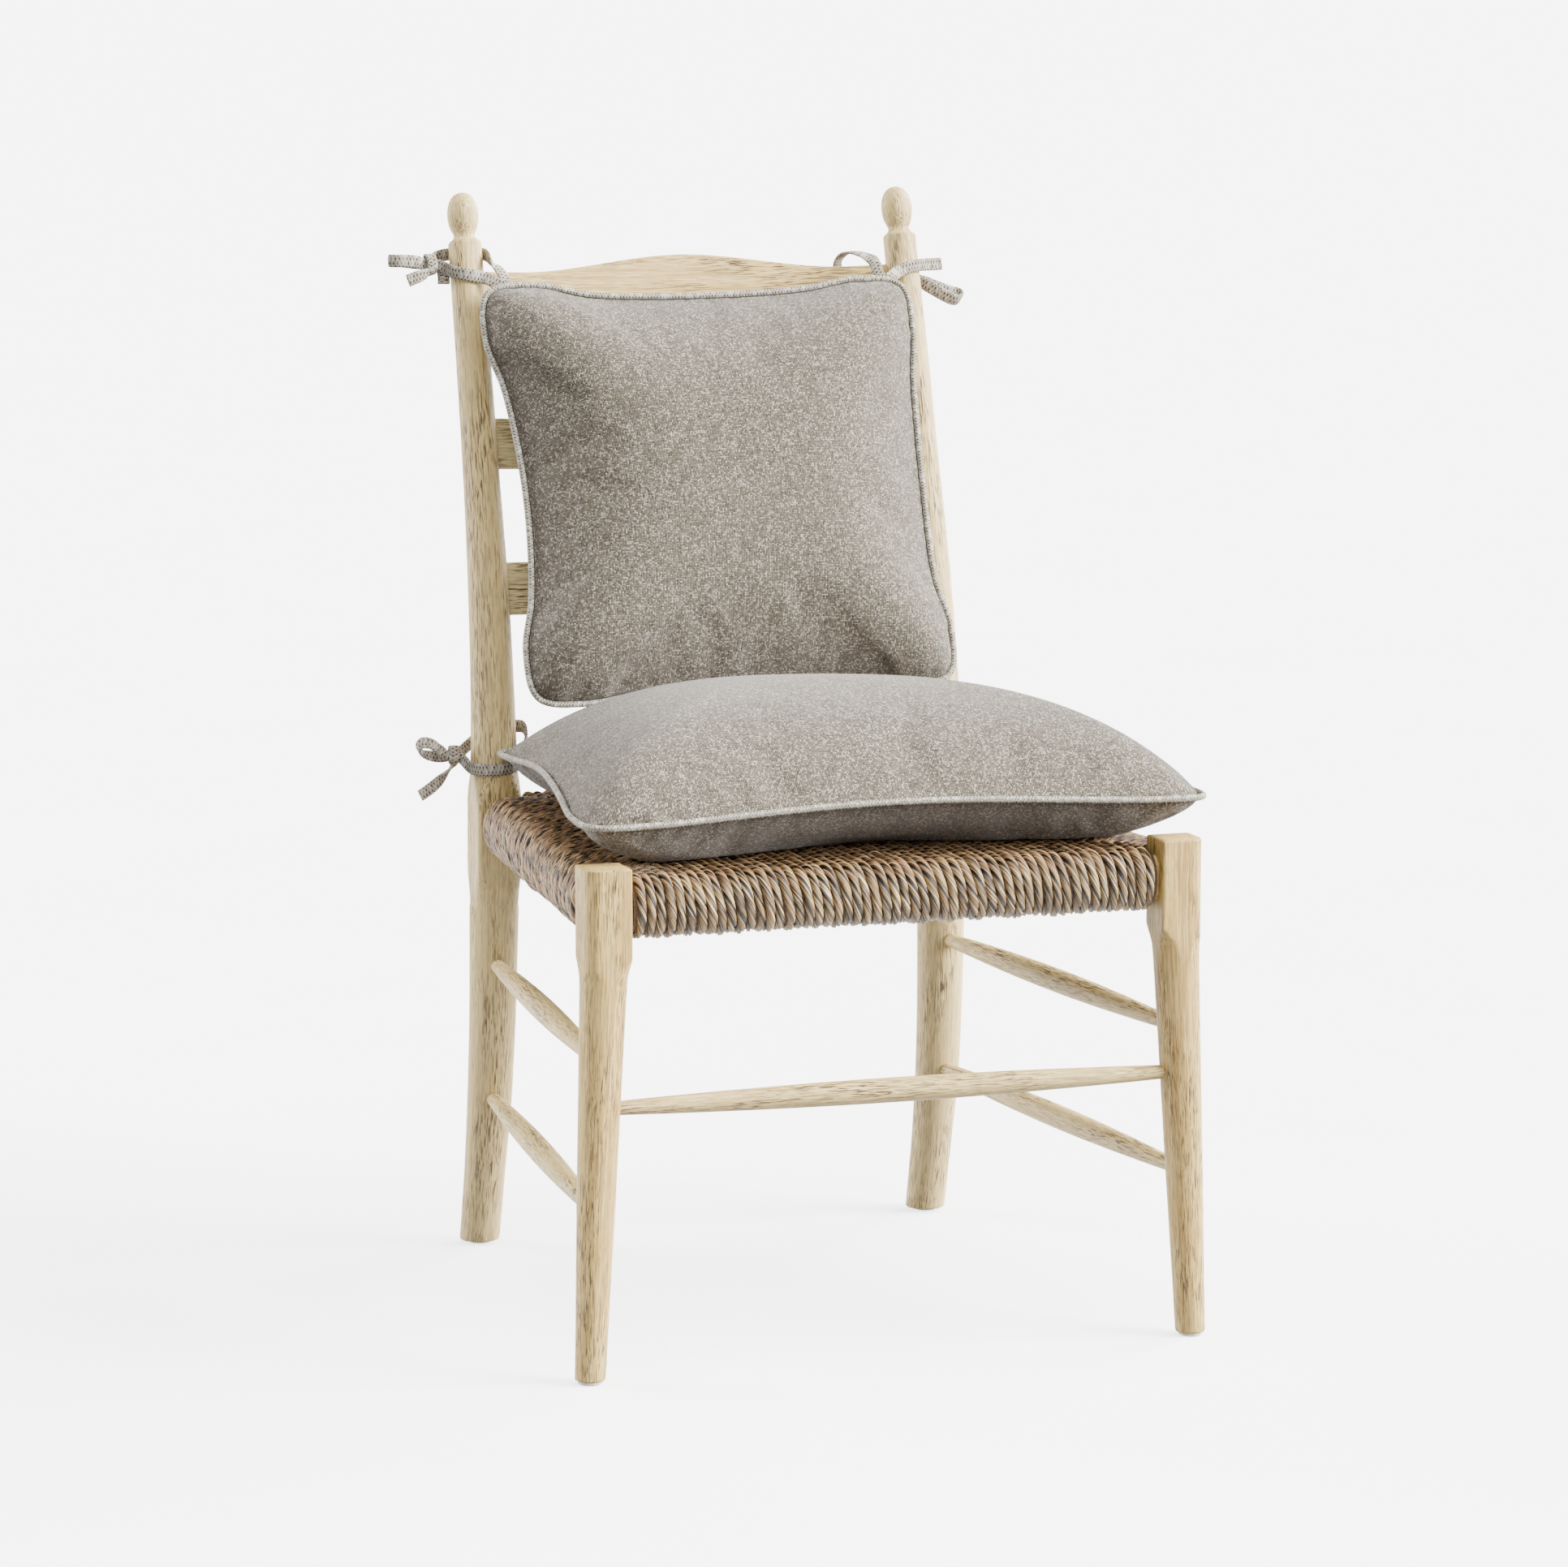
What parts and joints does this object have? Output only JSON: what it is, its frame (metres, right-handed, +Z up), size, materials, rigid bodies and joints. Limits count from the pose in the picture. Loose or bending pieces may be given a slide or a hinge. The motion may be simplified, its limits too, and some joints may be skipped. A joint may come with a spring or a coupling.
{
  "type": "ladder-back side chair",
  "caption": "Armless ladder-back dining chair in limed oak with a woven rush seat and tie-on seat and back cushions.",
  "frame": {"origin": "centre of the chair's footprint box on the floor, the tie straps left out", "axes": "+Z up, -Y towards the sitter's front, +X to the viewer's right when the chair is seen from the front"},
  "size_m": [0.6028, 0.6512, 0.9992],
  "materials": {
    "oak": "limed oak, satin, fine open grain",
    "rush": "twisted natural rush cord",
    "linen": "slubby basket-weave linen, greige",
    "piping": "braided piping cord, pale grey",
    "tie_braid": "flat tubular braid, grey beige",
    "glide": "pale nylon"
  },
  "bodies": {
    "root": {"side_stretcher_upper_left": "oak", "side_stretcher_lower_left": "oak", "front_leg_left": "oak", "back_post_left": "oak", "glide_front_left": "glide", "glide_back_left": "glide", "side_stretcher_upper_right": "oak", "side_stretcher_lower_right": "oak", "front_leg_right": "oak", "back_post_right": "oak", "glide_front_right": "glide", "glide_back_right": "glide", "front_stretcher": "oak", "seat_rail_front": "oak", "seat_rail_back": "oak", "seat_rail_left": "oak", "seat_rail_right": "oak", "ladder_slat_upper": "oak", "ladder_slat_lower": "oak", "crest_rail": "oak", "rush_seat": "rush", "seat_cushion": "linen", "seat_cushion_piping": "piping", "back_cushion": "linen", "back_cushion_piping": "piping", "seat_tie_left_loop": "tie_braid", "seat_tie_left_tail": "tie_braid", "seat_tie_right_loop": "tie_braid", "seat_tie_right_tail": "tie_braid", "back_tie_left_loop": "tie_braid", "back_tie_left_tail": "tie_braid", "back_tie_right_loop": "tie_braid", "back_tie_right_tail": "tie_braid"}
  },
  "joints": []
}
